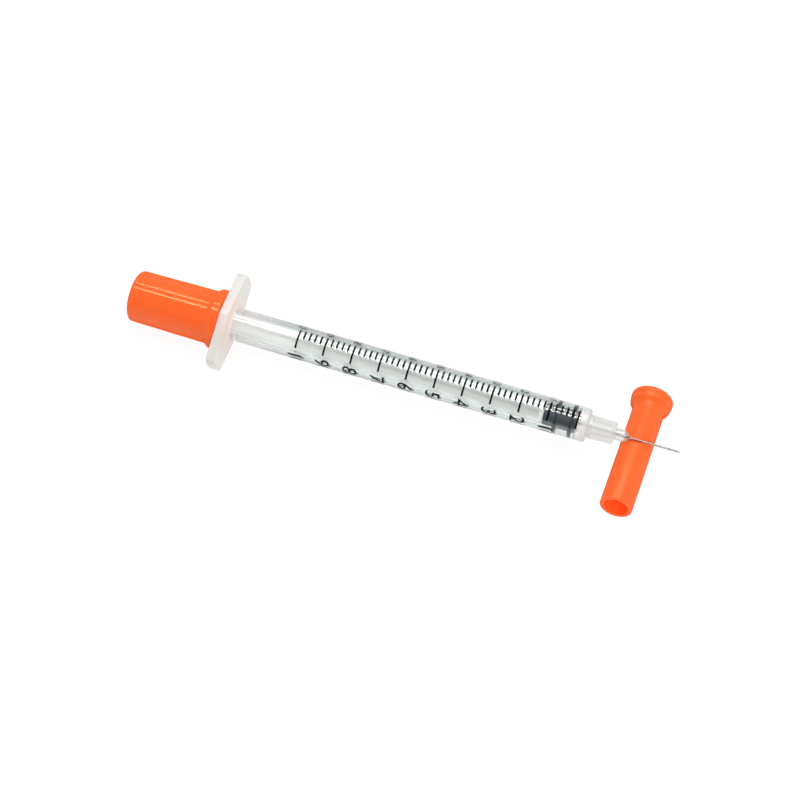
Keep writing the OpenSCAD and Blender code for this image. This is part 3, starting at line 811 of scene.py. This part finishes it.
class SYRINGE_OT_numbers(bpy.types.Operator):
    """Print the numbers of the scale, and plain millilitre numbers on the far side"""

    bl_idname = "syringe.numbers"
    bl_label = "Numbers"

    def execute(self, context):
        s = context.scene.syringe_print
        radius = print_radius(context.scene, 0.1)
        near, far = bmesh.new(), bmesh.new()
        for i in range(1, s.divisions // s.per_number + 1):
            x = zero_line(context.scene) - i * s.per_number * s.scale_length / s.divisions
            units = flat_number(str(10 * i), s.digit_height, s.ink, s.digit_stretch)
            wrap_number(units, x, s.digit_start, radius, near)
            millilitres = flat_number(f"{i / 10:.1f}", s.back_height, s.ink)
            wrap_number(millilitres, x, s.back_start, radius, far)
        for mesh, name in ((near, "scale_numbers"), (far, "millilitre_numbers")):
            bmesh.ops.recalc_face_normals(mesh, faces=mesh.faces)
            stand_for(keep(mesh, name, black_ink), "barrel", "black_ink")
        return {"FINISHED"}


class SYRINGE_OT_stopper(bpy.types.Operator):
    """Make the rubber stopper, whose ribs press on the bore"""

    bl_idname = "syringe.stopper"
    bl_label = "Stopper"

    def execute(self, context):
        s = context.scene.syringe_plunger
        body = s.stopper_radius
        crown = context.scene.syringe_barrel.bore_radius + s.squeeze
        edge, back, tip = 0.17 * MM, STOPPER_LOW.x, STOPPER_HIGH.x
        profile = [(back, 0.0), (back, body * 0.5)]
        profile += arc(back + edge, body - edge, edge, 180, 90, 4)
        half, land, slope = s.rib_width / 2, s.rib_land / 2, between(body, crown, 0.6)
        for x in (tip - s.front_rib - s.rib_pitch, tip - s.front_rib):
            profile += [(x - half, body), (x - half * 0.9, slope), (x - land, crown)]
            profile += [(x + land, crown), (x + half * 0.9, slope), (x + half, body)]
        cone_tip = body * 0.16
        profile += [(tip - s.cone_length, body - 0.02 * MM), (tip - 0.03 * MM, cone_tip)]
        profile += [(tip, cone_tip * 0.7), (tip, 0.0)]
        piece = keep(turned(profile), "stopper_seal", dark_rubber)
        stand_for(piece, "plunger", "dark_rubber", "stopper")
        return {"FINISHED"}


class SYRINGE_OT_rod(bpy.types.Operator):
    """Make the plunger rod from its solid, with smooth round faces"""

    bl_idname = "syringe.rod"
    bl_label = "Plunger rod"

    def execute(self, context):
        piece = smoothed_copy("plunger_rod", "plunger_stem", white_plastic)
        stand_for(piece, "plunger", "white_plastic", "plunger_rod")
        return {"FINISHED"}


class SYRINGE_OT_needle(bpy.types.Operator):
    """Make the needle and the adhesive bead that holds it"""

    bl_idname = "syringe.needle"
    bl_label = "Needle"

    def execute(self, context):
        needle = smoothed_copy("needle", "needle_tube", needle_steel)
        stand_for(needle, "barrel", "needle_steel", "needle")
        nose_radius = context.scene.syringe_barrel.nose_radius
        needle_radius = (NEEDLE_HIGH.z - NEEDLE_LOW.z) / 2
        foot_x = BARREL_HIGH.x - 0.02 * MM
        tip_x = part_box("needle_adhesive")[1].x
        wide, narrow = nose_radius * 0.94, needle_radius + 0.03 * MM
        profile = [(foot_x, 0.0), (foot_x, nose_radius * 0.9)]
        steps = 14
        for i in range(steps + 1):
            share = i / steps
            radius = between(wide, narrow, 0.85 * share + 0.15 * share * share)
            profile.append((between(foot_x, tip_x, 0.04 + 0.92 * share), radius))
        profile += [(tip_x, needle_radius * 0.9), (tip_x, 0.0)]
        bead = keep(turned(profile, 96), "adhesive_bead", clear_resin)
        stand_for(bead, "barrel", "clear_resin", "needle_adhesive")
        return {"FINISHED"}


class SYRINGE_OT_cap(bpy.types.Operator):
    """Make the orange plunger cap"""

    bl_idname = "syringe.cap"
    bl_label = "Plunger cap"

    def execute(self, context):
        s = context.scene.syringe_cap
        end, mouth = CAP_LOW.x, CAP_HIGH.x
        gate, gate_depth = 0.6 * MM, 0.08 * MM
        profile = [(end + gate_depth, 0.0), (end + gate_depth, gate), (end, gate + 0.1 * MM)]
        profile += arc(end + s.edge, s.end_radius - s.edge, s.edge, 180, 90, 12)

        rim = mouth - s.lip_width
        cone, blend = rim - s.cone_length, 0.35 * MM
        profile += [(cone - blend, s.mouth_radius - 0.004 * MM), (cone, s.mouth_radius + 0.03 * MM)]
        profile += [(cone + blend * 0.7, s.mouth_radius + s.lip * 0.32)]
        lip_radius, lip_edge = s.mouth_radius + s.lip, 0.16 * MM
        profile += [(rim - 0.12 * MM, lip_radius - 0.09 * MM), (rim + 0.03 * MM, lip_radius - 0.02 * MM)]
        profile += [(rim + 0.16 * MM, lip_radius)]
        profile += arc(mouth - lip_edge, lip_radius - lip_edge, lip_edge, 90, 0, 5)

        seat, seat_end, lead = s.mouth_radius - s.wall, mouth - s.seat_depth, 0.05 * MM
        profile += [(mouth, seat + lead), (mouth - lead, seat)]
        profile += [(seat_end, seat), (seat_end - 0.15 * MM, seat - 0.1 * MM)]
        corner, inner, floor = 0.28 * MM, s.end_radius - s.wall, end + s.wall
        profile += arc(floor + corner, inner - corner, corner, 90, 180, 6) + [(floor, 0.0)]
        piece = keep(turned(profile, 180), "plunger_cover", cap_plastic)
        stand_for(piece, "plunger_cap", "orange_plastic", "plunger_cap")
        return {"FINISHED"}


class SYRINGE_OT_shield(bpy.types.Operator):
    """Make the needle shield where its mount lies"""

    bl_idname = "syringe.shield"
    bl_label = "Needle shield"

    def execute(self, context):
        s = context.scene.syringe_shield
        head = s.head_radius - s.lip_height
        flare_start = s.total - s.head_length
        bend = s.flare_radius + s.head_edge
        lean = math.acos(1 - (head - s.tube_end_radius) / bend)
        flare_end = flare_start + bend * math.sin(lean)
        lean = math.degrees(lean)
        profile = [(0.0, s.seat_radius + s.chamfer)]
        profile += arc(s.rim, s.mouth_radius - s.rim, s.rim, 180, 90, 6)
        profile += arc(flare_start, s.tube_end_radius + s.flare_radius, s.flare_radius, 270, 270 + lean, 10)
        profile += arc(flare_end, head - s.head_edge, s.head_edge, 90 + lean, 90, 6)[1:]
        end = s.total - 0.02 * MM
        lip = end - s.lip_length
        profile += [(lip - 0.02 * MM, head), (lip + 0.01 * MM, head + 0.02 * MM)]
        profile += [(lip + 0.08 * MM, s.head_radius - 0.02 * MM), (lip + 0.12 * MM, s.head_radius)]
        profile += arc(end - s.end_edge, s.head_radius - s.end_edge, s.end_edge, 90, 0, 10) + [(end, 0.0)]

        depth, radius, edge = s.chamber_depth, s.chamber_radius, 0.3 * MM
        inner = [(depth, 0.0), (depth, radius - edge), (depth - edge, radius)]
        inner += [(s.seat_depth + s.seat_radius - radius, radius), (s.seat_depth, s.seat_radius)]
        inner += [(s.chamfer, s.seat_radius)]
        mesh = turned(inner + profile, 180)

        mount = MOUNTS["shield_mouth"]
        out = Vector(mount["axis"]).normalized()
        mouth = Vector(mount["pos_m"]) + out * (mount["dims"]["length_mm"] * MM / 2 + s.chamfer)
        side = (-out).cross(Vector((0, 0, 1))).normalized()
        turn = Matrix((-out, side, side.cross(-out))).transposed().to_4x4()
        bmesh.ops.transform(mesh, matrix=Matrix.Translation(mouth) @ turn, verts=mesh.verts)
        bmesh.ops.recalc_face_normals(mesh, faces=mesh.faces)
        piece = keep(mesh, "needle_cover", shield_plastic)
        stand_for(piece, "needle_shield", "orange_plastic", "needle_shield")
        return {"FINISHED"}


NEAR_SIDE_TONE = (0.20, 0.23, 0.24)
FAR_SIDE_TONE = (0.60, 0.61, 0.61)


def make_world():
    """Soft light from all round, darker on the near side, and white where the camera sees it."""
    world = bpy.data.worlds.new("studio")
    bpy.context.scene.world = world
    world.use_nodes = True
    tree = world.node_tree
    tree.nodes.clear()
    far = maths(tree, "MULTIPLY_ADD", place_parts(tree, "Generated")["Y"], 0.5, 0.5)
    ramp = add_node(tree, "ShaderNodeValToRGB", {"Fac": far})
    stops = ((0.0, NEAR_SIDE_TONE), (0.62, FAR_SIDE_TONE))
    for stop, (position, tone) in zip(ramp.color_ramp.elements, stops):
        stop.position = position
        stop.color = (*tone, 1.0)
    room = add_node(tree, "ShaderNodeBackground", {"Color": ramp.outputs["Color"]}).outputs["Background"]
    white = add_node(tree, "ShaderNodeBackground", {"Color": (1.0, 1.0, 1.0)}).outputs["Background"]
    seen = add_node(tree, "ShaderNodeLightPath").outputs["Is Camera Ray"]
    add_node(tree, "ShaderNodeOutputWorld", {"Surface": mixed_shader(tree, seen, room, white)})


def turn_to(axes, origin):
    """The place of an object with these three axes at an origin."""
    return Matrix.Translation(origin) @ Matrix(axes).transposed().to_4x4()


def area_lamp(name, origin, look_at, size_x, size_y, watts):
    """A rectangular lamp that looks at a point, with its long side along the barrel."""
    data = bpy.data.lights.new(name, "AREA")
    data.shape = "RECTANGLE"
    data.size = size_x
    data.size_y = size_y
    data.energy = watts
    lamp = linked(name, data)
    back = (origin - look_at).normalized()
    side = (Vector((1, 0, 0)) - back * back.x).normalized()
    lamp.matrix_world = turn_to((side, back.cross(side), back), origin)
    return lamp


class SYRINGE_OT_stage(bpy.types.Operator):
    """Make the floor, the light and the camera"""

    bl_idname = "syringe.stage"
    bl_label = "Stage"

    def execute(self, context):
        self.make_floor(context.scene)
        make_world()
        self.make_lamps()
        self.make_camera(context.scene)
        context.scene.view_settings.view_transform = "Standard"
        return {"FINISHED"}

    def make_floor(self, scene):
        """A floor under the cap's lip and the shield, which slopes a little below the level barrel."""
        shield_low, shield_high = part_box("needle_shield")
        back_x = CAP_HIGH.x - scene.syringe_cap.lip_width
        slope = (shield_low.z - CAP_LOW.z) / ((shield_low.x + shield_high.x) / 2 - back_x)
        clear = 0.01 * MM
        half = scene.syringe_stage.floor_size / 2
        mesh = bmesh.new()
        corners = []
        for x, y in ((-half, -half), (half, -half), (half, half), (-half, half)):
            corners.append(mesh.verts.new((x, y, CAP_LOW.z - clear + slope * (x - back_x))))
        mesh.faces.new(corners)
        keep(mesh, "floor", white_floor)

    def make_lamps(self):
        """Two narrow strips for the highlights along the barrel, a key and a fill."""
        middle = Vector((50 * MM, 0, 0))
        height = 0.42
        for name, degrees, watts in (("far strip", -20.0, 0.45), ("near strip", 3.5, 0.65)):
            area_lamp(name, place(-10 * MM, height, math.radians(degrees)), middle, 0.36, 0.036, watts)
        area_lamp("key", Vector((0.10, 0.35, 0.75)), middle, 0.7, 0.5, 0.4)
        fill = area_lamp("fill", Vector((0.48, -0.44, 0.22)), middle, 0.8, 0.4, 1.9)
        fill.visible_glossy = False

    def make_camera(self, scene):
        """The camera, in the place that was fitted to the picture."""
        s = scene.syringe_stage
        a, e, roll = s.azimuth, s.elevation, s.roll
        back = Vector((math.sin(a) * math.cos(e), -math.cos(a) * math.cos(e), math.sin(e)))
        level = Vector((math.cos(a), math.sin(a), 0))
        upright = back.cross(level)
        right = level * math.cos(roll) + upright * math.sin(roll)
        up = upright * math.cos(roll) - level * math.sin(roll)
        data = bpy.data.cameras.new("camera")
        data.sensor_width = s.sensor
        data.lens = s.focal_pixels * s.sensor / s.picture_width
        data.clip_start = 1 * MM
        data.clip_end = 20.0
        camera = linked("camera", data)
        target = Vector((s.target_x, 0, s.target_z))
        camera.matrix_world = turn_to((right, up, back), target + back * s.distance)
        scene.camera = camera


OPERATORS = (
    SYRINGE_OT_barrel,
    SYRINGE_OT_graduations,
    SYRINGE_OT_numbers,
    SYRINGE_OT_stopper,
    SYRINGE_OT_rod,
    SYRINGE_OT_needle,
    SYRINGE_OT_cap,
    SYRINGE_OT_shield,
    SYRINGE_OT_stage,
)

SETTINGS = {
    "syringe_barrel": BarrelSizes,
    "syringe_print": PrintSizes,
    "syringe_plunger": PlungerSizes,
    "syringe_cap": CapSizes,
    "syringe_shield": ShieldSizes,
    "syringe_colours": FinishColours,
    "syringe_stage": StageSettings,
}


class SYRINGE_PT_panel(bpy.types.Panel):
    """Lists the syringe's pieces and their settings"""

    bl_idname = "SYRINGE_PT_panel"
    bl_label = "Insulin syringe"
    bl_space_type = "VIEW_3D"
    bl_region_type = "UI"
    bl_category = "Syringe"

    def draw(self, context):
        for operator in OPERATORS:
            self.layout.operator(operator.bl_idname)
        for name, group in SETTINGS.items():
            box = self.layout.box()
            box.label(text=group.__name__)
            for prop in group.__annotations__:
                box.prop(getattr(context.scene, name), prop)


def register():
    for name, group in SETTINGS.items():
        bpy.utils.register_class(group)
        setattr(bpy.types.Scene, name, PointerProperty(type=group))
    for item in (*OPERATORS, SYRINGE_PT_panel):
        bpy.utils.register_class(item)


def unregister():
    for item in (SYRINGE_PT_panel, *reversed(OPERATORS)):
        bpy.utils.unregister_class(item)
    for name, group in SETTINGS.items():
        delattr(bpy.types.Scene, name)
        bpy.utils.unregister_class(group)


def main():
    """Makes every piece in order."""
    register()
    for operator in OPERATORS:
        group, action = operator.bl_idname.split(".")
        getattr(getattr(bpy.ops, group), action)()


if __name__ == "__main__":
    main()
